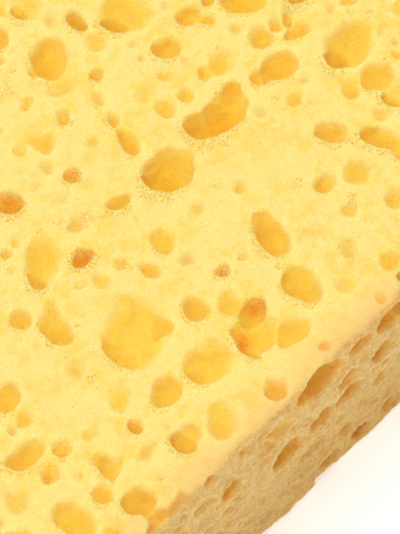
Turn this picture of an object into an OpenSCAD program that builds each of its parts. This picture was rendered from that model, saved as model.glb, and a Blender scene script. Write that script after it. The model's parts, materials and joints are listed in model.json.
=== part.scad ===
// Large-pore foam sponge block for painting and decorating.
// Millimetres. Origin at the middle of the bottom face, +X along the length, +Z up.

/* [Block] */
// Length of the foam block, along X
block_length = 190; // [180:5:230]
// Width of the foam block, along Y
block_width = 140; // [130:5:170]
// Thickness of the foam block, along Z
block_thickness = 50; // [48:1:60]
// Radius of the four upright corners
corner_radius = 7; // [4:1:8]
// Radius of the long and short edges round the top and the bottom
edge_radius = 2.5; // [1.5:0.5:4]

/* [Pores] */
// Radius of the opening of the smallest scattered pore
pore_radius_min = 1.8; // [1.2:0.1:2.4]
// Radius of the opening of the largest scattered pore
pore_radius_max = 5; // [3.5:0.1:5]
// How far below the face a scattered pore's centre lies, as a share of its opening
pore_sink = 0.35; // [0:0.05:0.45]
// Smallest side of the square of foam that each scattered pore has to itself
pore_spacing = 12.5; // [12.5:0.5:20]

/* [Hidden] */
$fn = 48;

foam_yellow = [0.98, 0.87, 0.50];

// Scattered pores keep this far from a face's edges, so that pores of two faces never meet inside.
pore_margin = 9;
// Least foam between a scattered pore and the border of its own square.
pore_wall = 0.3;

// The large pores that give the top face its character, near the front long edge.
// Each one is [x, distance behind the front edge, radius of the opening, how deep its centre lies].
top_pores = [
    [28, 49, 5.8, 2], [14, 47.5, 5.2, 2.5], [-14, 52, 4.6, 0.5], [-21, 40, 3.3, 1],
    [-13.5, 29, 6, 1], [17.5, 24, 4.1, 2], [14.5, 14, 3.4, 1.5], [3, 17.5, 3.8, 1.5],
    [6.5, 8.5, 3, 0.5], [-9, 15.5, 4.3, 1], [-17, 17, 3, 0.5], [-22, 7.5, 2.5, 1],
    [-14, 6.5, 3, 0], [-3, 4, 2.4, 0.5], [-1.5, 24.5, 2.4, 1], [-42, 26, 3.1, 1],
    [-37, 37, 3, 0.5], [-24, 22.5, 2.7, 0], [39.5, 32, 2.8, 1.5], [45.5, 24.5, 3, 1.5],
    [37.5, 22, 2.9, 0.5], [31.5, 26, 2.3, 0.5], [28, 6.5, 2.3, 0], [53.5, 33, 2.8, 1],
    [38.5, 49.5, 2.2, 0], [13.5, 57, 2, 0.5], [-10, 64, 2.6, 1], [-9.5, 43, 2, 1],
    [3.5, 49, 2, 0.5], [2, 69, 2.2, 0], [3.5, 38, 2, 0.5], [24, 20, 2.2, 0], [-37, 22.5, 1.8, 0.5],
    [40, 41, 1.8, 0.5], [23, 56.5, 2, 0], [-25, 46, 2, 0.5]
];
// The stretch of the top face that those pores fill: [lowest x, highest x, how far behind the edge].
top_stretch = [-52, 64, 76];

// The large pores of the front side, [x, height, radius of the opening, how deep its centre lies].
front_pores = [
    [4, 43.5, 3.7, 1], [14, 45, 2.3, 0], [22.5, 43, 3.2, 1], [-5.5, 28, 3.4, 1],
    [3.5, 29, 2.6, 0.5], [11.5, 28, 2.7, 1], [11.5, 34, 1.9, 0.5], [19.5, 33.5, 2.4, 1],
    [-6, 40.5, 2.8, 0], [13.5, 5.5, 2.7, 1], [5, 7, 2.4, 0.5], [21.5, 5.5, 2.2, 0.5],
    [9.5, 14, 2, 0], [1, 18, 2.4, 0], [19.5, 21.5, 2, 0]
];
// The stretch of the front side that those pores fill.
front_stretch = [-16, 32];

// A square number times one of these, less its whole part, is as good as random.
spread_x = 0.7548777;
spread_y = 0.5698403;
golden = 0.6180340;
// Above 1, small pores are more common than large ones.
rarity = 1.8;

// A number from 0 to 1 for pore i.
function chance(i, factor) = i * i * factor - floor(i * i * factor);
function opening(i) =
    pore_radius_min * pow(pore_radius_max / pore_radius_min, pow(chance(i, golden), rarity));
function ball_radius(opening, depth) = sqrt(opening * opening + depth * depth);
function either_way(i, factor) = 2 * chance(i, factor) - 1;

// Where a face's scattered pores leave room for chosen ones.
in_top_stretch = function(x, y)
    x > top_stretch[0] && x < top_stretch[1] && y + block_width / 2 < top_stretch[2];
in_front_stretch = function(x, y) x > front_stretch[0] && x < front_stretch[1];
nowhere = function(x, y) false;

module rounded_outline(width, depth, radius) {
    square([width - 2 * radius, depth], center = true);
    square([width, depth - 2 * radius], center = true);
    for (x = [-1, 1], y = [-1, 1])
        translate([x * (width / 2 - radius), y * (depth / 2 - radius)])
            circle(r = radius);
}

// The block as it is cut from the foam: three extrusions that meet in one rounded block.
module blank() {
    translate([0, 0, block_thickness / 2])
        intersection() {
            linear_extrude(height = block_thickness, center = true)
                rounded_outline(block_length, block_width, corner_radius);
            rotate([90, 0, 0])
                linear_extrude(height = block_width, center = true)
                    rounded_outline(block_length, block_thickness, edge_radius);
            rotate([90, 0, 90])
                linear_extrude(height = block_length, center = true)
                    rounded_outline(block_width, block_thickness, edge_radius);
        }
}

// A round bubble that the cut opened, for a face that lies in Z = 0 with the foam below it.
module pore(opening, depth) {
    translate([0, 0, -depth])
        sphere(r = ball_radius(opening, depth));
}

// One pore in each square of a grid over a face, somewhere within its square.
// first is the number of the face's first pore, so that each face is different.
module scattered_pores(length, width, first, taken) {
    columns = floor((length - 2 * pore_margin) / pore_spacing);
    rows = floor((width - 2 * pore_margin) / pore_spacing);
    step_x = (length - 2 * pore_margin) / columns;
    step_y = (width - 2 * pore_margin) / rows;
    for (column = [0:columns - 1], row = [0:rows - 1])
        let (
            i = first + column * rows + row,
            r = opening(i),
            reach = ball_radius(r, r * pore_sink) + pore_wall,
            x = (column + 0.5 - columns / 2) * step_x + either_way(i, spread_x) * (step_x / 2 - reach),
            y = (row + 0.5 - rows / 2) * step_y + either_way(i, spread_y) * (step_y / 2 - reach)
        )
            if (!taken(x, y))
                translate([x, y, 0])
                    pore(r, r * pore_sink);
}

module top_face_pores() {
    translate([0, 0, block_thickness]) {
        for (p = top_pores)
            translate([p[0], p[1] - block_width / 2, 0])
                pore(p[2], p[3]);
        scattered_pores(block_length, block_width, 1, in_top_stretch);
    }
}

module bottom_face_pores() {
    mirror([0, 0, 1])
        scattered_pores(block_length, block_width, 139, nowhere);
}

module front_side_pores() {
    translate([0, -block_width / 2, 0])
        rotate([90, 0, 0]) {
            for (p = front_pores)
                translate([p[0], p[1], 0])
                    pore(p[2], p[3]);
            translate([0, block_thickness / 2, 0])
                scattered_pores(block_length, block_thickness, 261, in_front_stretch);
        }
}

module back_side_pores() {
    translate([0, block_width / 2, block_thickness / 2])
        rotate([-90, 0, 0])
            scattered_pores(block_length, block_thickness, 291, nowhere);
}

module end_pores(side) {
    translate([side * block_length / 2, 0, block_thickness / 2])
        rotate([90, 0, side * 90])
            scattered_pores(block_width, block_thickness, 361 + 30 * side, nowhere);
}

module foam_block() {
    color(foam_yellow)
        difference() {
            blank();
            top_face_pores();
            bottom_face_pores();
            front_side_pores();
            back_side_pores();
            end_pores(-1);
            end_pores(1);
        }
}

foam_block();
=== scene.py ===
import json
import math
import time

import bpy
import numpy as np
from mathutils import Matrix, Vector


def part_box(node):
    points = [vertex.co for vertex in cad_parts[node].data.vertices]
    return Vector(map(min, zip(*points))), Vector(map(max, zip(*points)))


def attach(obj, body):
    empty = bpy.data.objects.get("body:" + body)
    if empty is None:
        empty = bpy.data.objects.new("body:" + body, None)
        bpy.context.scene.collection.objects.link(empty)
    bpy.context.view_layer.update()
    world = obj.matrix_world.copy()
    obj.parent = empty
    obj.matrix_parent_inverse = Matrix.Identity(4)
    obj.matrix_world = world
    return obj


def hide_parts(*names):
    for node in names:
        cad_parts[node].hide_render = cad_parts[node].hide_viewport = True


started = time.time()
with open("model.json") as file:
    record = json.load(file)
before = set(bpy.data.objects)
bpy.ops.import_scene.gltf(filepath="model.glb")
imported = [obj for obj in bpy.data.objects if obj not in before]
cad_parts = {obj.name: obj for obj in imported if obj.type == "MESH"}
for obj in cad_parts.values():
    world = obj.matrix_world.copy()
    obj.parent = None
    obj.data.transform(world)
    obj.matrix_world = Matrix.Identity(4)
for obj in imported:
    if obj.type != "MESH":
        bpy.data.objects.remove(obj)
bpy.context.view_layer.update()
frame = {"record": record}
lowCorner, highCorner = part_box("foam_block")
mm = 0.001
blockSize = (np.array(highCorner) - np.array(lowCorner)) / mm  # length, width, thickness


def report(stage):
    print(f"{stage} ({time.time() - started:.0f} s)")


report(f"frame loaded: {frame['record'].get('name', 'foam block')}, block {blockSize.round(1)} mm")

# What a user would change about the foam's shape. Lengths are in millimetres of the block, and a
# pair of numbers for a fade is where the effect is full and where it is gone.
foam = {
    "cornerRadius": 7.0,  # mm, the four upright corners
    "edgeRadius": 2.2,  # mm, the edges round the top and the bottom
    "rimRounding": 0.55,  # mm over which a pore's rim turns into the skin
    "poreBlend": 0.5,  # mm over which neighbouring pores run together
    "lean": (-0.55, -0.22, 0.0),  # how far a bubble leans sideways for each mm of its depth
    "areaForEachPore": 34.0,  # mm2 of face for each scattered pore
    # The scattered pores' long axes: the share up to which a range holds, its least and its most.
    "poreSizes": ((0.07, 8, 13), (0.27, 5, 8), (0.58, 3, 5), (1, 1.4, 3)),
    "roundness": (0.62, 1),  # short axis as a share of the long one
    "depthShare": (0.18, 0.54),  # depth as a share of the long axis
    "leastDepth": 0.6,
    "shallowing": (9, 3),  # depths are cut to 9 / (long axis + 3) of that, where it is under 1
    "innerFrom": (7, 0.6),  # pores longer than this, in the shallower 0.6 of them, have one inside
    "innerShape": (0.45, 0.36, 0.16),  # its long axis, short axis and added depth, as shares
    "placesTried": 14,  # random places for each pore, of which the roomiest is taken
    "seed": 11,
    "fineCell": 0.36,  # mm, mesh cells where the foam is seen closest
    "coarseCell": 0.62,  # mm, mesh cells elsewhere
    "depthCell": 0.42,  # mm, mesh cells through the thickness
    "fineStretch": ((-50.0, 60.0), (-72.0, 20.0)),  # mm, where the cells are fine along X and Y
    "fineDepth": 12.0,  # mm below the top down to which the cells are fine along Z
    "spacingChange": 14.0,  # mm over which the fine cells turn into coarse ones
    "spareRoom": 1.5,  # mm of mesh lines past each face
    # Noise in layers of height, size and seed: how far outlines wander, the relief inside the
    # pores, and the relief on the cut sides.
    "wander": ((0.7, 5.5, 20), (0.36, 2.3, 30)),
    "grain": ((0.16, 1.15, 40), (0.08, 0.6, 41)),
    "crumbs": ((0.17, 0.8, 42), (0.085, 0.5, 43)),
    "riseHeld": (0.75, 0.35),  # how much of the skin's rise and fall is held back: middle, cut side
    "grainOnSkin": 0.3,  # share of the grain that the skin has
    "skinFade": (0, 1.2),  # mm below the face
    "sideFade": (0, 9.0),  # mm from a side, for its painted shade, darker and warmer
    "cutFade": (1, 0.8),  # of the side's tone, for the relief of the cut sides
    "roofDepth": 2.0,  # mm below the skin that is looked at for a hollow
    "roofFade": (0.2, 1.4),  # mm from that hollow, for the net over it
    "netFade": (0.3, 0.8),  # mm below the face, for the same net
    "thinFade": (0.4, 1.4),  # mm below the face, for the net of the thin places
    "thinShare": 0.65,
}

# The chosen pores of the top face: x, y, long axis, short axis, turn of the long axis from +X
# in degrees, depth. Millimetres.
topPores = [
    # the bean, with its fat left end and the tip at its right
    (24.7, -20.4, 7, 6, 70, 4.2), (29.5, -21.2, 10.5, 7.5, 0, 4.4), (33.8, -19, 3.4, 2.6, 20, 3.4),
    # the round one beside it
    (14, -22.5, 10, 9, -10, 4.4), (11.8, -22.8, 5.5, 4.6, 80, 4.8),
    # the wide shallow dish, its deeper left part and its bowl
    (-12.7, -41.3, 15, 12, 55, 2.3), (-16.5, -42, 8.5, 6, 80, 3), (-8.7, -43.3, 5, 4.5, 0, 2.7),
    # the pores that run together
    (3, -49.2, 6.5, 5, 60, 1.8), (4.5, -53, 7, 4, 20, 3.4), (-0.8, -56.5, 7, 3.5, 80, 3),
    (2.6, -57.2, 7.5, 6.5, -10, 2.4), (6.5, -61.3, 7.5, 5.4, -5, 2.2),
    # large ones
    (-8, -54.8, 10, 8.5, 20, 2.5), (-10, -54.5, 5.5, 5, 80, 3), (17.9, -45.2, 10, 6, 80, 3.2),
    (14.3, -56, 8.4, 5.5, 90, 3.1), (-14.3, -19, 10.5, 7, 40, 2.1), (-17.2, -21, 4.5, 3.5, 60, 2.8),
    (-21.7, -30, 9, 5.2, 90, 2.7), (-20, -27.5, 5, 4, 60, 1.3), (-42, -43.7, 8, 4.5, -20, 2.8),
    (45.4, -46, 8.4, 4, -65, 2.8), (39.7, -38.2, 6.6, 4.2, -70, 2.5), (37, -47.6, 6, 5.6, 0, 1.6),
    (53.6, -36.9, 6, 5.4, -50, 2.6), (48.8, -35, 5.6, 4.6, 80, 1.5), (-14, -63.6, 7, 6, 60, 1.7),
    (-37, -33.5, 6, 5, 0, 2.5), (-16.8, -53.2, 6, 5.8, 0, 2.4), (-1.5, -45.3, 6, 4.6, 75, 2.7),
    (-23.3, -47.6, 6.5, 4.5, 40, 1.3), (12.4, 4.2, 6, 4.4, -15, 1), (-10.2, -6.3, 5.5, 4.8, -60, 3.2),
    # middling ones
    (-21.7, -62, 5, 4, 80, 3), (-19.5, -61.5, 4.5, 4.5, 0, 1.5), (-3.1, -66.3, 5, 5, 0, 1.8),
    (-25.3, -38.4, 5, 4.5, 0, 0.9), (-2.5, -34.3, 5, 3.8, 90, 1.5), (-25, -24.1, 4.6, 3.8, 50, 2),
    (-9.2, -23.7, 4.2, 2.8, 10, 2.6), (-10.3, -29.2, 5, 3.5, 85, 1.4), (3.1, -31.8, 4.8, 4, 80, 2),
    (3.5, -20.5, 5.6, 2.8, -20, 2.4), (2.2, -1.7, 5.5, 3.8, -70, 1.4), (13.3, -13, 5.4, 3.2, 80, 2),
    (14.6, -8, 4.6, 2.6, 75, 1.6), (15.2, -2.6, 4, 2, 85, 1), (23, -13.4, 4.6, 3.8, 80, 1.6),
    (21.5, -8.5, 5, 4.5, 0, 0.9), (39, -21, 4.4, 3.6, 80, 1.9), (32, -44.8, 4.8, 3.8, 0, 1.9),
    (24.6, -56.5, 4.6, 2.8, 80, 1.1), (28.4, -64, 5, 4.2, 0, 1.5), (38.3, -56, 5, 3.4, 50, 1.6),
    (-27.5, -59, 5, 3.2, 20, 1.1), (-5.5, -17.8, 4, 3.2, 0, 1.1),
    # small ones
    (-37.3, -38.6, 3.5, 3, 20, 1.5), (-41, -38.3, 2.3, 2.2, 0, 0.8), (-37, -47.5, 3.7, 3.2, 0, 1.7),
    (-32, -49.2, 3.7, 3, 0, 1.1), (-34.7, -53.5, 2.5, 2.4, 0, 0.9), (-25, -53.4, 3, 3, 0, 2),
    (-32.5, -56.6, 2.5, 2.4, 0, 0.8), (-13, -27.3, 3, 2.5, 0, 0.9), (-5.3, -29.5, 3.3, 3, 0, 0.9),
    (3.7, -37.3, 2.8, 2.7, 0, 0.9), (1.5, -9.9, 3.6, 2.8, 80, 1.8), (-1.7, 0, 3.2, 2.8, 0, 1.1),
    (-0.3, -5.2, 3, 2.8, 0, 0.9), (-18, -12.8, 2, 2, 0, 1.3), (-15.4, -12.2, 3, 2.4, 80, 0.9),
    (-4.6, -7.2, 2.5, 2.2, 0, 0.7), (-3, -12.3, 3.5, 2.5, 20, 0.7), (5.8, 6, 3.4, 2.6, 15, 1.4),
    (11.2, 9.8, 2.6, 2.4, 0, 1.4), (18.3, 1.7, 2, 1.8, 0, 1.6), (8, -0.2, 3.4, 2.8, 60, 1.7),
    (8.3, -8.5, 2.8, 2.4, 0, 0.8), (27.4, -13.5, 3.1, 3, 0, 1.5), (27, -7.7, 3.8, 2.8, -50, 1.2),
    (32.8, -12.8, 3, 2.6, -50, 1.5), (33.3, -26.5, 2, 2, 0, 0.7), (39.6, -29, 2.9, 2.6, 0, 1.3),
    (43.5, -27, 2.4, 2.3, 0, 0.7), (12.4, -31.2, 2.8, 2.6, 0, 0.8), (20.2, -34.4, 2.8, 2.2, 0, 0.9),
    (48.7, -42.8, 3.4, 2.6, 80, 1.1), (30.8, -51.7, 3.2, 3, 0, 1.2), (23.5, -50, 3.6, 3.2, 0, 0.9),
    (19.3, -61.5, 3.2, 2.8, 80, 1.1), (21.9, -67.3, 3, 2.6, 80, 1.2), (8.3, -67.5, 2.2, 2.1, 0, 0.8),
    (11.2, -44.5, 2, 1.9, 0, 1), (6.7, -43.8, 2.6, 2.4, 0, 1.5),
]
# The same for the middle of the front side: x, height, long axis, short axis, turn, depth.
frontPores = [
    (4.5, 44.6, 12, 8.6, 0, 4.8), (14.5, 44.6, 6.2, 5, 0, 2.4), (22.5, 43.6, 8.6, 6.8, 90, 4.4),
    (27.5, 42.6, 7.6, 6.4, 90, 3.6), (-5, 28, 9, 7.4, 90, 4.4), (3.5, 29, 7.4, 6, 0, 3),
    (11.5, 33.8, 5, 4.8, 0, 2.5), (11, 27.4, 7, 5.4, 0, 3.7), (19.5, 33.5, 6, 5.2, 90, 3.4),
    (-6, 41, 8, 5.6, 0, 1.7), (-14, 44.8, 5.6, 4, 90, 1.3), (-10.5, 45.6, 3.6, 3, 0, 1.1),
    (-9, 38.5, 3.6, 3.4, 0, 1.2), (-11.5, 34, 3.2, 3, 0, 1), (11, 39.8, 4.6, 4.2, 0, 1.3),
    (1, 18, 7, 3.6, 0, 1.6), (4, 13, 3.4, 3, 0, 1), (9.5, 12.5, 5, 4.6, 0, 1.7),
    (19.5, 21.5, 5.4, 4.6, 0, 2), (8, 20.5, 3, 2.8, 0, 0.9), (15, 18, 3.2, 3, 0, 1),
    (21, 12, 3.8, 3.4, 0, 1.2), (20.5, 27.4, 3, 2.8, 0, 1.2), (13.5, 5.5, 5.4, 4.4, 90, 3.4),
    (5, 6.6, 5.6, 5, 0, 2.8), (21.5, 5, 4.4, 4, 0, 2.3), (-2.5, 36.5, 3, 2.8, 0, 1.2),
    (27, 33, 5, 3.6, 0, 1.8), (15.5, 38, 2.8, 2.6, 0, 0.9),
]
# Where the foam is a stronger orange on the top face: x, y, reach. Millimetres.
warmPlaces = [(6.7, -43.8, 1.3), (-9.2, -23.7, 2), (-10, -6.5, 2.6), (6, -52.5, 2.2),
              (-1, -56, 1.8), (1.5, -10, 1.2)]
# Where the top face is a torn net over hollows just below it, the same way.
thinPlaces = [
    (21.5, -24.5, 1.8), (24.5, -26, 2), (11, -27, 2), (9.2, -24, 1.6), (41.5, -43, 2.2),
    (43.5, -47, 1.8), (38.5, -40.5, 1.6), (24, -56, 1.6), (13.3, -7, 1.6), (14, -3, 1.2),
    (17.8, -31, 1.4), (31, -51.5, 1.5), (1, -11, 1.6), (3, -22.3, 2), (-16.5, -21.5, 2.4),
    (-8, -25.5, 1.5), (-12, -8, 1.6), (-7.5, -15.5, 1.2), (-3.5, -18.5, 2.2),
]


# The six faces as they lie in block millimetres: middle, direction of the first and of the
# second axis in the face, outward direction, and the face's two sides.
def blockFaces():
    length, width, height = blockSize
    middle = height / 2
    return {
        "top": ((0, 0, height), (1, 0, 0), (0, 1, 0), (0, 0, 1), (length, width)),
        "bottom": ((0, 0, 0), (1, 0, 0), (0, -1, 0), (0, 0, -1), (length, width)),
        "front": ((0, -width / 2, middle), (1, 0, 0), (0, 0, 1), (0, -1, 0), (length, height)),
        "back": ((0, width / 2, middle), (-1, 0, 0), (0, 0, 1), (0, 1, 0), (length, height)),
        "left": ((-length / 2, 0, middle), (0, -1, 0), (0, 0, 1), (-1, 0, 0), (width, height)),
        "right": ((length / 2, 0, middle), (0, 1, 0), (0, 0, 1), (1, 0, 0), (width, height)),
    }


# Where the pores are chosen one by one: on the top face between two values of x - y and two of
# x + y, and on the front side between two values of x. Millimetres.
chosenStretch = {"topDifference": (-7, 95), "topSum": (-90, 21), "front": (-18, 31)}


def isChosen(face, u, v):
    def within(value, name):
        low, high = chosenStretch[name]
        return low < value < high

    if face == "top":
        return within(u - v, "topDifference") and within(u + v, "topSum")
    return face == "front" and within(u, "front")


# 1 at one end of a span, 0 at the other, and a straight line between: (gone - value) over
# (gone - full), kept from 0 to 1.
def fade(value, span):
    full, gone = span
    return np.clip((gone - value) / (gone - full), 0, 1)


# Scattered pores, largest first: each takes the roomiest of a few random places on its face.
# Its depth is a random share of its long axis, less for a large pore. A wide shallow pore has a
# deeper one in it.
def scatterPores(faces):
    draw = np.random.default_rng(foam["seed"])
    found = []
    overhang = 2  # mm that places may lie past a face, both ends together
    least, most = foam["depthShare"]
    shallowTop, shallowAdd = foam["shallowing"]
    innerSize, innerDeep = foam["innerFrom"]
    innerLong, innerShort, innerDepth = foam["innerShape"]
    for face, measures in faces.items():
        length, width = measures[-1]
        count = int(length * width / foam["areaForEachPore"])
        share = draw.random(count)
        ranges = [draw.uniform(small, large, count) for _, small, large in foam["poreSizes"]]
        longAxis = np.select([share < upTo for upTo, _, _ in foam["poreSizes"]], ranges)
        taken = np.zeros((0, 3))
        for size in np.sort(longAxis)[::-1]:
            places = ((draw.random((foam["placesTried"], 2)) - 0.5)
                      * (length + overhang, width + overhang))
            if len(taken):
                apart = np.hypot(places[:, None, 0] - taken[:, 0], places[:, None, 1] - taken[:, 1])
                room = (apart - taken[:, 2] - size / 2).min(1)
            else:
                room = np.ones(len(places))
            u, v = places[room.argmax()]
            shape = draw.uniform(*foam["roundness"])
            turn = draw.uniform(0, 180)
            deep = draw.random()
            taken = np.vstack([taken, (u, v, size / 2)])
            if isChosen(face, u, v):
                continue
            shallower = min(1, shallowTop / (size + shallowAdd))
            depth = max(foam["leastDepth"], size * (least + (most - least) * deep) * shallower)
            found.append((face, u, v, size, size * shape, turn, depth))
            if size > innerSize and deep < innerDeep:
                found.append((face, u + size * foam["lean"][0] / 2, v, size * innerLong,
                              size * innerShort, turn, depth + size * innerDepth))
    return found


# Spacing of a mesh line: coarse, and fine inside the stretch, changing smoothly between them.
# The lines are where the running sum of one over the spacing passes each whole number.
def meshLines(low, high, stretch, fine, coarse):
    samples = 4000
    place = np.linspace(low, high, samples)
    outside = np.maximum(np.maximum(stretch[0] - place, place - stretch[1]), 0)
    blend = np.clip(outside / foam["spacingChange"], 0, 1)
    spacing = fine + (coarse - fine) * blend * blend * (3 - 2 * blend)
    steps = np.concatenate([[0], np.cumsum(np.diff(place) * 2 / (spacing[1:] + spacing[:-1]))])
    return np.interp(np.arange(int(steps[-1]) + 1), steps, place).astype(np.float32)


# Distance to a rectangle with round corners, negative inside: the length of what sticks out
# past the corner centres, plus the nearer side's distance where nothing does, less the radius.
def outlineDistance(a, b, lengthA, lengthB, radius):
    overA = np.abs(a) - lengthA / 2 + radius
    overB = np.abs(b) - lengthB / 2 + radius
    outside = np.sqrt(np.maximum(overA, 0) ** 2 + np.maximum(overB, 0) ** 2)
    return outside + np.minimum(np.maximum(overA, overB), 0) - radius


# The block is where three outlines, from above, from the front and from the end, agree.
def blockDistance(x, y, z):
    length, width, height = blockSize
    upright = z - height / 2
    fromAbove = outlineDistance(x, y, length, width, foam["cornerRadius"])
    fromFront = outlineDistance(x, upright, length, height, foam["edgeRadius"])
    fromEnd = outlineDistance(y, upright, width, height, foam["edgeRadius"])
    return np.maximum(np.maximum(fromAbove, fromFront), fromEnd)


# The smaller of two distances, rounded over the given width where they are nearly equal.
def smoothMinimum(a, b, width):
    overlap = np.maximum(width - np.abs(a - b), 0) / width
    return np.minimum(a, b) - overlap * overlap * width / 4


# Takes one pore into the hollow field: an ellipsoid whose cut by the face is the pore's
# opening and whose lowest point is its depth, leaning sideways as it goes down. A ball through
# a rim of radius a with depth d has radius (a squared + d squared) / 2d. Its distance is close to
# k (k - 1) / g, with k the length of the scaled place and g that of the twice scaled one.
def addPore(hollow, lines, face, u, v, longAxis, shortAxis, turn, depth):
    middle, first, second, outward, _ = (np.array(part, float) for part in face)
    centre = middle + first * u + second * v
    angle = math.radians(turn)
    axisA = first * math.cos(angle) + second * math.sin(angle)
    axisB = second * math.cos(angle) - first * math.sin(angle)
    rim = math.sqrt(longAxis * shortAxis) / 2
    ball = (rim * rim + depth * depth) / (2 * depth)
    sink = depth - ball
    radiusA, radiusB = longAxis / 2 * ball / rim, shortAxis / 2 * ball / rim
    lean = np.array(foam["lean"])
    lean = lean - outward * (lean @ outward)
    margin = 1.6  # mm round the pore within which the field is worked out
    wide = max(longAxis / 2, radiusA if sink > 0 else 0) + margin + depth / 2
    normal = np.abs(outward)
    windowMiddle = centre - outward * depth / 2
    windowHalf = wide * (1 - normal) + (depth / 2 + margin) * normal
    spans = [slice(*np.searchsorted(line, (windowMiddle[k] - windowHalf[k],
                                           windowMiddle[k] + windowHalf[k])))
             for k, line in enumerate(lines)]
    offset = [lines[k][spans[k]].reshape([-1 if axis == k else 1 for axis in range(3)]) - centre[k]
              for k in range(3)]
    if min(o.size for o in offset) == 0:
        return
    along = [sum(float(direction[k]) * offset[k] for k in range(3))
             for direction in (axisA, axisB, outward)]
    below = -along[2]
    a = (along[0] - float(lean @ axisA) * below).astype(np.float32)
    b = (along[1] - float(lean @ axisB) * below).astype(np.float32)
    c = (below - sink).astype(np.float32)
    scaled = np.sqrt((a / radiusA) ** 2 + (b / radiusB) ** 2 + (c / ball) ** 2)
    twice = np.sqrt((a / radiusA**2) ** 2 + (b / radiusB**2) ** 2 + (c / ball**2) ** 2) + 1e-6
    window = hollow[tuple(spans)]
    window[...] = smoothMinimum(window, scaled * (scaled - 1) / twice, foam["poreBlend"])


# The surface where a field on a box of mesh lines is zero. Every cell whose corners aren't all
# on one side gets a point, the middle of the crossings on its twelve edges, and every crossed
# edge gets a four-sided face between the points of the four cells round it.
def zeroSurface(field, lines):
    solid = field < 0
    size = np.array(field.shape) - 1
    corners = [(i, j, k) for i in (0, 1) for j in (0, 1) for k in (0, 1)]
    count = np.zeros(size, np.int8)
    for i, j, k in corners:
        count += solid[i:size[0] + i, j:size[1] + j, k:size[2] + k]
    mixed = (count > 0) & (count < 8)
    number = np.full(size, -1, np.int32)
    cells = np.array(np.nonzero(mixed))
    number[tuple(cells)] = np.arange(cells.shape[1])
    value = {c: field[cells[0] + c[0], cells[1] + c[1], cells[2] + c[2]] for c in corners}
    total = np.zeros(cells.shape, np.float32)
    crossings = np.zeros(cells.shape[1], np.float32)
    for start in corners:
        for axis in range(3):
            if start[axis]:
                continue
            end = tuple(1 if k == axis else start[k] for k in range(3))
            crossed = (value[start] < 0) != (value[end] < 0)
            share = np.where(crossed, value[start] / (value[start] - value[end] + 1e-12), 0)
            for k in range(3):
                total[k] += crossed * (start[k] + (share if k == axis else 0))
            crossings += crossed
    place = cells + total / crossings
    points = np.stack([np.interp(place[k], np.arange(len(lines[k])), lines[k]) for k in range(3)], 1)
    quads = []
    for axis in range(3):
        after, last = (axis + 1) % 3, (axis + 2) % 3
        near = [slice(1, -1)] * 3
        near[axis] = slice(0, -1)
        far = list(near)
        far[axis] = slice(1, None)
        inside, outside = solid[tuple(near)], solid[tuple(far)]
        edges = np.array(np.nonzero(inside != outside))
        facing = inside[tuple(edges)]
        edges[after] += 1
        edges[last] += 1
        around = []
        for stepAfter, stepLast in ((1, 1), (0, 1), (0, 0), (1, 0)):
            cell = edges.copy()
            cell[after] -= stepAfter
            cell[last] -= stepLast
            around.append(number[tuple(cell)])
        ring = np.stack(around, 1)
        quads.append(np.where(facing[:, None], ring, ring[:, ::-1]))
    return points, np.concatenate(quads)


# Keeps the largest connected part: every point takes the lowest number among its neighbours',
# and then the number of that point, until nothing changes.
def largestPart(points, quads):
    label = np.arange(len(points))
    sides = np.concatenate([quads[:, [k, (k + 1) % 4]] for k in range(4)])
    while True:
        before = label.copy()
        low = np.minimum(label[sides[:, 0]], label[sides[:, 1]])
        np.minimum.at(label, sides[:, 0], low)
        np.minimum.at(label, sides[:, 1], low)
        label = label[label]
        if (label == before).all():
            break
    keep = label == np.bincount(label).argmax()
    renumbered = np.cumsum(keep) - 1
    kept = quads[keep[quads[:, 0]]]
    return points[keep], renumbered[kept]


# A value between the eight grid values round each place, by straight lines.
def fieldAt(field, lines, points):
    place = [np.clip(np.interp(points[:, k], lines[k], np.arange(len(lines[k]))), 0,
                     len(lines[k]) - 1.001) for k in range(3)]
    cell = [p.astype(int) for p in place]
    part = [p - c for p, c in zip(place, cell)]
    total = 0
    for i in (0, 1):
        for j in (0, 1):
            for k in (0, 1):
                weight = (np.abs(1 - i - part[0]) * np.abs(1 - j - part[1])
                          * np.abs(1 - k - part[2]))
                total = total + weight * field[cell[0] + i, cell[1] + j, cell[2] + k]
    return total


# Smooth noise from -1 to 1: random numbers on a lattice that repeats, with eased straight
# lines between them.
def smoothNoise(points, size, seed):
    repeat = 64
    lattice = np.random.default_rng(seed).uniform(-1, 1, (repeat,) * 3).astype(np.float32)
    place = points / size
    cell = np.floor(place).astype(int)
    part = place - cell
    part = part * part * (3 - 2 * part)
    total = 0
    for i in (0, 1):
        for j in (0, 1):
            for k in (0, 1):
                weight = (np.abs(1 - i - part[:, 0]) * np.abs(1 - j - part[:, 1])
                          * np.abs(1 - k - part[:, 2]))
                total = total + weight * lattice[tuple(((cell + (i, j, k)) % repeat).T)]
    return total


# Layers of smooth noise added up, each with its height, size and seed. Another shift gives
# other noise.
def layeredNoise(points, layers, shift=0):
    return sum(height * smoothNoise(points, size, seed + shift) for height, size, seed in layers)


# The outward direction of the plain block at each point, from small differences.
def outwardDirection(points):
    x, y, z = points.T
    step = 0.05  # mm
    slope = np.stack([
        blockDistance(x + step, y, z) - blockDistance(x - step, y, z),
        blockDistance(x, y + step, z) - blockDistance(x, y - step, z),
        blockDistance(x, y, z + step) - blockDistance(x, y, z - step),
    ], 1)
    return slope / np.maximum(np.linalg.norm(slope, axis=1, keepdims=True), 1e-6)


# Each point's direction: the sum of its faces' directions, found from their diagonals.
def pointDirections(points, quads):
    a, b, c, d = (points[quads[:, k]] for k in range(4))
    facing = np.cross(c - a, d - b)
    total = np.stack([sum(np.bincount(quads[:, k], facing[:, axis], len(points))
                          for k in range(4)) for axis in range(3)], 1)
    return total / np.maximum(np.linalg.norm(total, axis=1, keepdims=True), 1e-12)


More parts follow.
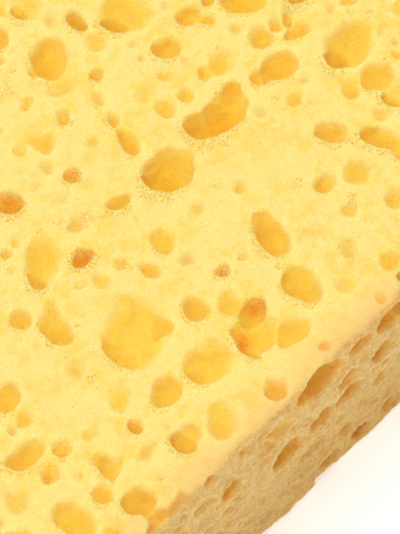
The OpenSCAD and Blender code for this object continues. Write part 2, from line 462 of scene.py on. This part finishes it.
# How strongly a list of places, each x, y, reach, marks each point of the upper half of the
# block: the sum of e to the minus (distance / reach) squared.
def strengthOf(places, points):
    upperHalf = points[:, 2] > blockSize[2] / 2
    return upperHalf * sum(
        np.exp(-((points[:, 0] - x) ** 2 + (points[:, 1] - y) ** 2) / reach ** 2)
        for x, y, reach in places)


def makeFoam():
    length, width, height = blockSize
    fine, coarse, spare = foam["fineCell"], foam["coarseCell"], foam["spareRoom"]
    fineX, fineY = foam["fineStretch"]
    fineZ = (height - foam["fineDepth"], height + spare)
    lines = [
        meshLines(-length / 2 - spare, length / 2 + spare, fineX, fine, coarse),
        meshLines(-width / 2 - spare, width / 2 + spare, fineY, fine, coarse),
        meshLines(-spare, height + spare, fineZ, fine, foam["depthCell"]),
    ]
    farAway = 9  # mm, the distance to a pore where none is near
    hollow = np.full([len(line) for line in lines], farAway, np.float32)
    faces = blockFaces()
    for x, y, longAxis, shortAxis, turn, depth in topPores:
        addPore(hollow, lines, faces["top"], x, y, longAxis, shortAxis, turn, depth)
    for x, z, longAxis, shortAxis, turn, depth in frontPores:
        addPore(hollow, lines, faces["front"], x, z - height / 2, longAxis, shortAxis, turn, depth)
    scattered = scatterPores(faces)
    for face, u, v, longAxis, shortAxis, turn, depth in scattered:
        addPore(hollow, lines, faces[face], u, v, longAxis, shortAxis, turn, depth)
    report(f"{len(topPores) + len(frontPores) + len(scattered)} pores on {hollow.size:,} places")

    x, y, z = (lines[0][:, None, None], lines[1][None, :, None], lines[2][None, None, :])
    field = -smoothMinimum(-blockDistance(x, y, z).astype(np.float32), hollow, foam["rimRounding"])
    points, quads = zeroSurface(field, lines)
    points, quads = largestPart(points, quads)
    report(f"foam surface: {len(points):,} points, {len(quads):,} faces")

    outward = outwardDirection(points)
    # How deep each point lies below the plain block's faces; the material paints the pores deeper
    # colours by it, as painted shade.
    depth = np.maximum(-blockDistance(*points.T), 0)
    # The cut sides are painted darker and warmer, as painted shade for faces that the light from
    # above barely reaches, and the mask runs a little way onto the top and the bottom.
    fromSide = -outlineDistance(points[:, 0], points[:, 1], length, width, foam["cornerRadius"])
    side = fade(fromSide, foam["sideFade"]) ** 2
    roof = fieldAt(hollow, lines, points - outward * foam["roofDepth"])
    lace = fade(roof, foam["roofFade"]) * fade(depth, foam["netFade"]) * (1 - side) ** 2
    warm = strengthOf(warmPlaces, points)
    thin = np.clip(strengthOf(thinPlaces, points), 0, 1)
    lace = lace + foam["thinShare"] * thin * fade(depth, foam["thinFade"])

    # Outlines wander sideways, more than the skin rises and falls.
    wander = np.stack([layeredNoise(points, foam["wander"], axis) for axis in range(3)], 1)
    skin = fade(depth, foam["skinFade"])
    cut = fade(side, foam["cutFade"])
    held, heldOnCut = foam["riseHeld"]
    rise = (wander * outward).sum(1, keepdims=True) * outward
    points = points + wander - rise * (skin * (held + (heldOnCut - held) * cut))[:, None]
    facing = pointDirections(points, quads)
    grain = layeredNoise(points, foam["grain"]) * (1 - (1 - foam["grainOnSkin"]) * skin)
    relief = grain + layeredNoise(points, foam["crumbs"]) * cut
    points = points + facing * relief[:, None]
    points[:, 2] = np.maximum(points[:, 2], 0)

    mesh = bpy.data.meshes.new("foamSponge")
    mesh.vertices.add(len(points))
    mesh.vertices.foreach_set("co", (points * mm).astype(np.float32).ravel())
    mesh.loops.add(quads.size)
    mesh.loops.foreach_set("vertex_index", quads.astype(np.int32).ravel())
    mesh.polygons.add(len(quads))
    mesh.polygons.foreach_set("loop_start", np.arange(0, quads.size, 4, dtype=np.int32))
    mesh.polygons.foreach_set("use_smooth", np.ones(len(quads), bool))
    for name, values in (("depth", depth), ("lace", lace), ("side", side), ("warm", warm)):
        mesh.attributes.new(name, "FLOAT", "POINT").data.foreach_set(
            "value", values.astype(np.float32))
    mesh.update(calc_edges=True)
    mesh.validate()
    piece = bpy.data.objects.new("foamSponge", mesh)
    bpy.context.scene.collection.objects.link(piece)
    return piece


class Link:
    # Wraps a node's output, so that arithmetic on it adds the nodes that work it out.
    def __init__(self, shader, socket):
        self.shader, self.socket = shader, socket

    def maths(self, operation, *values, clamp=False):
        return self.shader.add("ShaderNodeMath", {"operation": operation, "use_clamp": clamp},
                               dict(enumerate(values)))

    def __add__(self, other):
        return self.maths("ADD", self, other)

    def __sub__(self, other):
        return self.maths("SUBTRACT", self, other)

    def __rsub__(self, other):
        return self.maths("SUBTRACT", other, self)

    def __mul__(self, other):
        return self.maths("MULTIPLY", self, other)

    __radd__, __rmul__ = __add__, __mul__

    def clamped(self):
        return self.maths("ADD", self, 0, clamp=True)


class Shader:
    # One method adds any node: its settings first, then its sockets' values or links.
    def __init__(self, name):
        self.material = bpy.data.materials.new(name)
        self.material.use_nodes = True
        self.tree = self.material.node_tree
        self.tree.nodes.clear()

    def add(self, kind, settings=None, sockets=None, output=0):
        node = self.tree.nodes.new(kind)
        for name, value in (settings or {}).items():
            setattr(node, name, value)
        for key, value in (sockets or {}).items():
            if isinstance(value, Link):
                self.tree.links.new(value.socket, node.inputs[key])
            else:
                node.inputs[key].default_value = value
        return Link(self, node.outputs[output]) if len(node.outputs) else None

    # 0 below low, 1 above high, and an eased rise between.
    def rise(self, value, low, high):
        return self.add("ShaderNodeMapRange", {"interpolation_type": "SMOOTHSTEP"},
                        {0: value, 1: low, 2: high})

    def mix(self, factor, first, second):
        return self.add("ShaderNodeMix", {"data_type": "RGBA"}, {0: factor, 6: first, 7: second}, 2)

    def attribute(self, name):
        return self.add("ShaderNodeAttribute", {"attribute_name": name}, {}, "Fac")


# A colour given as it looks on screen, from 0 to 1, as the light that it stands for:
# ((c + 0.055) / 1.055) to the power 2.4.
def colour(red, green, blue):
    return tuple(((c + 0.055) / 1.055) ** 2.4 for c in (red, green, blue)) + (1,)


# What a user would change about the foam's look. A pair of numbers is where something starts
# and where it is full. Depths are in millimetres below the skin.
foamLook = {
    "thread": colour(0.98, 0.88, 0.55),  # the walls between the fine cells
    "skin": colour(0.97, 0.81, 0.33),  # the fine cells where the foam was cut
    "edge": colour(0.92, 0.765, 0.48),  # the smooth band beside the cut sides
    # painted shade: the cut sides' foam, darker and warmer than the top's, for faces the light from
    # above barely reaches
    "cutSideShaded": colour(0.83, 0.625, 0.29),
    "cutSideFloorShade": colour(0.76, 0.575, 0.30),  # darker still near the floor, painted contact shade
    "floorShadeHeight": (0.0, 0.034),  # m over which that painted shade fades
    # painted shade on the cut sides' pale threads
    "cutSideThreadShaded": colour(0.915, 0.76, 0.47),
    # the pores' colours by depth, painted shade for light soaked up and bounced in the hollows
    "golden": colour(0.985, 0.81, 0.28),
    "amber": colour(0.99, 0.795, 0.25),
    "orange": colour(0.985, 0.725, 0.18),
    "ember": colour(0.99, 0.65, 0.16),  # the warm places
    "sidePoreShaded": colour(0.895, 0.665, 0.235),  # inside the pores of the cut sides, in painted shade
    # painted shade deeper in those pores and near the floor
    "sidePoreDeepShade": colour(0.74, 0.54, 0.2),
    "goldenDepth": (0.15, 1.6),
    "amberDepth": (1.3, 3.6),
    "orangeDepth": (3.0, 6.5),
    "emberDepth": (0.3, 1.6),
    "sidePoreShadeDepth": (1, 4),
    "dotDepth": (0.3, 1.2),  # where the painted-shade dots inside the pores begin
    "netDepth": (0.4, 1),  # where the pale net on the pores' walls begins
    "netEnd": (2.5, 4),  # and ends
    "speckEnd": (0.15, 0.6),
    "laceEnd": (0.8, 2),
    "dipDepth": 0.4,  # how much deeper a dip in the skin is painted, as painted shade
    "grainDepth": 0.8,
    "sidePoreReach": 1.3,  # how much further than the side's painted shade its pores' shaded colour reaches
    "emberReach": 1.5,  # the same for the warm places' deep holes
    "warmHoles": 0.3,  # how many more deep holes the warm places have
    "speckSize": (0.5, 0.18),  # a place's random number times the first, less the second
    "speckRagged": 0.4,
    "laceFrom": {"speck": 0.8, "warm": 0.7, "grain": 0.6},  # what makes foam thin, besides hollows
    "cellsInMetre": 2100,  # fine cells, under half a millimetre each
    "laceInMetre": 1450,  # larger cells where the foam is thin
    "crumbsInMetre": 1150,  # the torn threads on the cut sides
    "specksInMetre": 210,  # places where small groups of cells lie open
    "grainInMetre": 1100,
    "frothInMetre": 420,
    "patchesInMetre": 170,
    # Shares of a pattern, from 0 to 1.
    "cellWall": (0.03, 0.32),
    "laceWall": (0.08, 0.28),
    "speckEdge": (0, 0.12),
    "dipEdge": (0.46, 0.62),
    "frayEdge": (0.42, 0.6),
    "cutEdge": (0.8, 0.97),
    "netGrain": (0.4, 0.6),
    "dotGrain": (0.45, 0.75),
    "laceEdge": (0.25, 0.65),
    "holeGrain": (0.42, 0.62),
    # How strongly each thing shows, from 0 to 1. The second of a pair comes and goes with the grain.
    "cellShow": (0.3, 0.35),
    "netShow": (0.05, 0.2),
    "dotShow": (0.08, 0.5),
    "dipShow": 0.4,
    "frayShow": 0.6,
    # how much of the painted floor shade the cut sides' threads take
    "floorShadeOnThreads": 0.7,
    "emberShow": 0.7,
    "laceShow": 0.8,
    "holeShow": 0.8,
    "deepHoleShow": 0.85,
    # How high each thing stands, as shares of bumpHeight.
    "bumpHeight": 0.00022,
    "cellRelief": -0.5,
    "holeRelief": -1.5,
    "dipRelief": -0.5,
    "grainRelief": 0.7,
    "frayRelief": -2,
    "roughness": 0.88,
    "sheen": 0.1,
    "subsurface": 0.8,
    "subsurfaceReach": 0.004,
}


def foamMaterial():
    look = foamLook
    shader = Shader("foamYellow")
    place = shader.add("ShaderNodeTexCoord", output="Object")
    depth, lace, side, warm = (shader.attribute(name)
                               for name in ("depth", "lace", "side", "warm"))

    def noise(scale, detail=2, roughness=0.5):
        return shader.add("ShaderNodeTexNoise", {}, {
            "Vector": place, "Scale": look[scale], "Detail": detail, "Roughness": roughness}, "Fac")

    def voronoi(scale, feature, output="Distance"):
        return shader.add("ShaderNodeTexVoronoi", {"feature": feature},
                          {"Vector": place, "Scale": look[scale]}, output)

    def rise(value, span):
        return shader.rise(value, *look[span])

    # The first share everywhere, and the second as far as the grain says.
    def show(shares, grainShare):
        steady, more = look[shares]
        return steady + grainShare * more

    grain = noise("grainInMetre", 3, 0.6)
    froth = noise("frothInMetre")
    patches = noise("patchesInMetre")
    crumbs = noise("crumbsInMetre", 3, 0.65)
    unevenness = grain - 0.5
    # How much of a cell's opening shows: 0 on the walls between the cells, 1 inside, where its
    # yellower colour is partly painted shade in the cell.
    opening = rise(voronoi("cellsInMetre", "DISTANCE_TO_EDGE"), "cellWall")
    gap = rise(voronoi("laceInMetre", "DISTANCE_TO_EDGE"), "laceWall")
    # A speck is a ragged spot of open cells in the skin. Its size comes from its place's random
    # number, and where that is low there is none.
    speckAway = voronoi("specksInMetre", "F1")
    speckPick = shader.add("ShaderNodeSeparateColor", {},
                           {0: voronoi("specksInMetre", "F1", "Color")}, 0)
    mostSpeck, lessSpeck = look["speckSize"]
    speckSize = speckPick * mostSpeck - lessSpeck
    speck = rise(speckSize - speckAway + (froth - 0.5) * look["speckRagged"], "speckEdge")
    speck = speck * (1 - rise(depth, "speckEnd"))
    # The skin: pale walls and yellower cells, and near them the cut sides' painted shade, darker
    # towards the floor as painted contact shade.
    dips = rise(froth * 0.5 + patches * 0.5, "dipEdge")
    frayed = rise(crumbs, "frayEdge")
    height = shader.add("ShaderNodeSeparateXYZ", {}, {0: place}, 2)
    # Painted contact shade: 1 at the floor, fading to 0 higher up the cut sides.
    low = 1 - rise(height, "floorShadeHeight")
    cut = rise(side, "cutEdge")
    cutSideShaded = shader.mix(low, look["cutSideShaded"], look["cutSideFloorShade"])
    shadedSideThread = shader.mix(low * look["floorShadeOnThreads"], look["cutSideThreadShaded"], look["cutSideShaded"])
    cell = shader.mix(cut, shader.mix(side, look["skin"], look["edge"]), cutSideShaded)
    thread = shader.mix(cut, shader.mix(side, look["thread"], look["edge"]), shadedSideThread)
    openness = (opening * show("cellShow", grain) * (1 - side) + dips * look["dipShow"]
                + frayed * cut * look["frayShow"])
    skin = shader.mix(openness.clamped(), thread, cell)
    # Inside the pores the colour is painted deeper with depth, golden, then amber, then orange, as
    # painted shade that stands in for light soaked up and bounced in the hollows, and duller in the
    # cut sides' painted shade.
    below = depth + dips * look["dipDepth"] + unevenness * look["grainDepth"]
    # The pores of the cut sides are painted darker deeper in and towards the floor, as painted shade.
    deep = low * 0.5 + rise(depth, "sidePoreShadeDepth") * 0.5
    sidePoreShaded = shader.mix(deep, look["sidePoreShaded"], look["sidePoreDeepShade"])
    nearSide = (side * look["sidePoreReach"]).clamped()
    golden = shader.mix(nearSide, look["golden"], sidePoreShaded)
    amber = shader.mix(nearSide, look["amber"], sidePoreShaded)
    base = shader.mix(rise(below, "goldenDepth"), skin, golden)
    base = shader.mix(rise(below, "amberDepth"), base, amber)
    base = shader.mix(rise(below, "orangeDepth") * (1 - side), base, look["orange"])
    # A pale net on the pores' walls, the warm places, and fine cells as small darker dots, painted
    # shade in the cells' pits.
    net = rise(depth, "netDepth") * (1 - rise(depth, "netEnd")) * (1 - gap)
    base = shader.mix(net * show("netShow", rise(grain, "netGrain")), base, thread)
    base = shader.mix(warm * rise(below, "emberDepth") * look["emberShow"], base, look["ember"])
    dots = opening * rise(depth, "dotDepth") * show("dotShow", rise(grain, "dotGrain")) * (1 - side)
    base = shader.mix(dots, base, look["orange"])
    # Where the foam is thin it is a pale lace with holes painted amber, and some deeper orange, as
    # painted shade in the hollows under them.
    share = look["laceFrom"]
    thin = rise(lace + speck * share["speck"] + warm * share["warm"]
                + unevenness * share["grain"], "laceEdge")
    hole = gap * thin
    strands = thin * (1 - gap) * (1 - rise(depth, "laceEnd"))
    base = shader.mix(strands * look["laceShow"], base, thread)
    base = shader.mix(hole * look["holeShow"], base, amber)
    deepColour = shader.mix((warm * look["emberReach"]).clamped(), look["orange"], look["ember"])
    deepHole = hole * rise(grain + warm * look["warmHoles"], "holeGrain")
    base = shader.mix(deepHole * look["deepHoleShow"], base, deepColour)
    relief = (opening * look["cellRelief"] + hole * look["holeRelief"] + dips * look["dipRelief"]
              + grain * look["grainRelief"] + frayed * cut * look["frayRelief"])
    bump = shader.add("ShaderNodeBump", {},
                      {"Strength": 0.7, "Distance": look["bumpHeight"], "Height": relief})
    surface = shader.add("ShaderNodeBsdfPrincipled", {"subsurface_method": "RANDOM_WALK"}, {
        "Base Color": base, "Normal": bump, "Roughness": look["roughness"],
        "Specular IOR Level": 0.2, "Sheen Weight": look["sheen"], "Sheen Roughness": 0.5,
        "Subsurface Weight": look["subsurface"], "Subsurface Scale": look["subsurfaceReach"],
        "Subsurface Radius": (1, 0.65, 0.25)})
    shader.add("ShaderNodeOutputMaterial", {}, {"Surface": surface})
    return shader.material


foamPiece = makeFoam()
foamPiece.data.materials.append(foamMaterial())
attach(foamPiece, "root")
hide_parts("foam_block")
report("foam made")

# The floor, the two lamps and the light all round, in metres and watts.
studio = {
    "floorSize": 6.0,
    "floorColour": colour(0.97, 0.97, 0.96),
    "floorRoughness": (0.85, 0.1),  # the least, and how much more its mottling adds
    "mottleInMetre": 3,
    "floorGlow": 0.3,
    "worldStrength": 0.75,
    "keyPlace": (-0.5, 0.05, 0.95),
    "keySize": 1.1,
    "keyPower": 2.2,
    "fillPlace": (0.1, 0.1, 1.2),
    "fillSize": 1.4,
    "fillPower": 5.3,
}


def makeFloor():
    half = studio["floorSize"] / 2
    mesh = bpy.data.meshes.new("floor")
    mesh.from_pydata([(-half, -half, 0), (half, -half, 0), (half, half, 0), (-half, half, 0)],
                     [], [(0, 1, 2, 3)])
    shader = Shader("paleFloor")
    place = shader.add("ShaderNodeTexCoord", output="Object")
    mottle = shader.add("ShaderNodeTexNoise", {},
                        {"Vector": place, "Scale": studio["mottleInMetre"]}, "Fac")
    smooth, rougher = studio["floorRoughness"]
    surface = shader.add("ShaderNodeBsdfPrincipled", {}, {
        "Base Color": studio["floorColour"], "Roughness": smooth + mottle * rougher,
        "Specular IOR Level": 0.1, "Emission Color": studio["floorColour"],
        "Emission Strength": studio["floorGlow"]})
    shader.add("ShaderNodeOutputMaterial", {}, {"Surface": surface})
    mesh.materials.append(shader.material)
    floor = bpy.data.objects.new("floor", mesh)
    bpy.context.scene.collection.objects.link(floor)


# Turns an object so that its -Z looks at a point.
def aimAt(thing, place, target):
    toward = Vector(target) - Vector(place)
    thing.matrix_world = Matrix.Translation(Vector(place)) @ toward.to_track_quat(
        "-Z", "Y").to_matrix().to_4x4()


def addAreaLight(name, place, size, power):
    light = bpy.data.lights.new(name, "AREA")
    light.shape = "DISK"
    light.size = size
    light.energy = power
    lamp = bpy.data.objects.new(name, light)
    bpy.context.scene.collection.objects.link(lamp)
    aimAt(lamp, place, (0, 0, highCorner.z))


makeFloor()
addAreaLight("keyLight", studio["keyPlace"], studio["keySize"], studio["keyPower"])
addAreaLight("fillLight", studio["fillPlace"], studio["fillSize"], studio["fillPower"])
scene = bpy.context.scene
world = bpy.data.worlds.new("studioAir")
world.use_nodes = True
background = world.node_tree.nodes["Background"]
background.inputs["Color"].default_value = (1, 1, 1, 1)
background.inputs["Strength"].default_value = studio["worldStrength"]
scene.world = world
scene.view_settings.view_transform = "Standard"

# A close view down on the front edge, with a long lens. Angles are in degrees, the sensor in
# millimetres and the rest in metres.
view = {
    "target": (0.004, lowCorner.y + 0.0296, highCorner.z),
    "azimuth": -36.5,
    "elevation": 65.0,
    "roll": 9.3,
    "distance": 0.6,
    "frameHeight": 0.09536,  # how much of the target's plane the picture takes in
    "sensor": 36.0,
}


def makeCamera():
    azimuth, elevation, roll = (math.radians(view[k]) for k in ("azimuth", "elevation", "roll"))
    back = Vector((math.sin(azimuth) * math.cos(elevation),
                   -math.cos(azimuth) * math.cos(elevation), math.sin(elevation)))
    level = Vector((0, 0, 1)).cross(back).normalized()
    upright = back.cross(level)
    right = level * math.cos(roll) - upright * math.sin(roll)
    up = level * math.sin(roll) + upright * math.cos(roll)
    lens = bpy.data.cameras.new("camera")
    lens.sensor_width = view["sensor"]
    lens.lens = view["sensor"] * view["distance"] / view["frameHeight"]
    lens.clip_start, lens.clip_end = 0.01, 20
    camera = bpy.data.objects.new("camera", lens)
    scene.collection.objects.link(camera)
    camera.matrix_world = Matrix.Translation(
        Vector(view["target"]) + back * view["distance"]) @ Matrix(
        (right, up, back)).transposed().to_4x4()
    scene.camera = camera


makeCamera()
report("floor, lights and camera made")
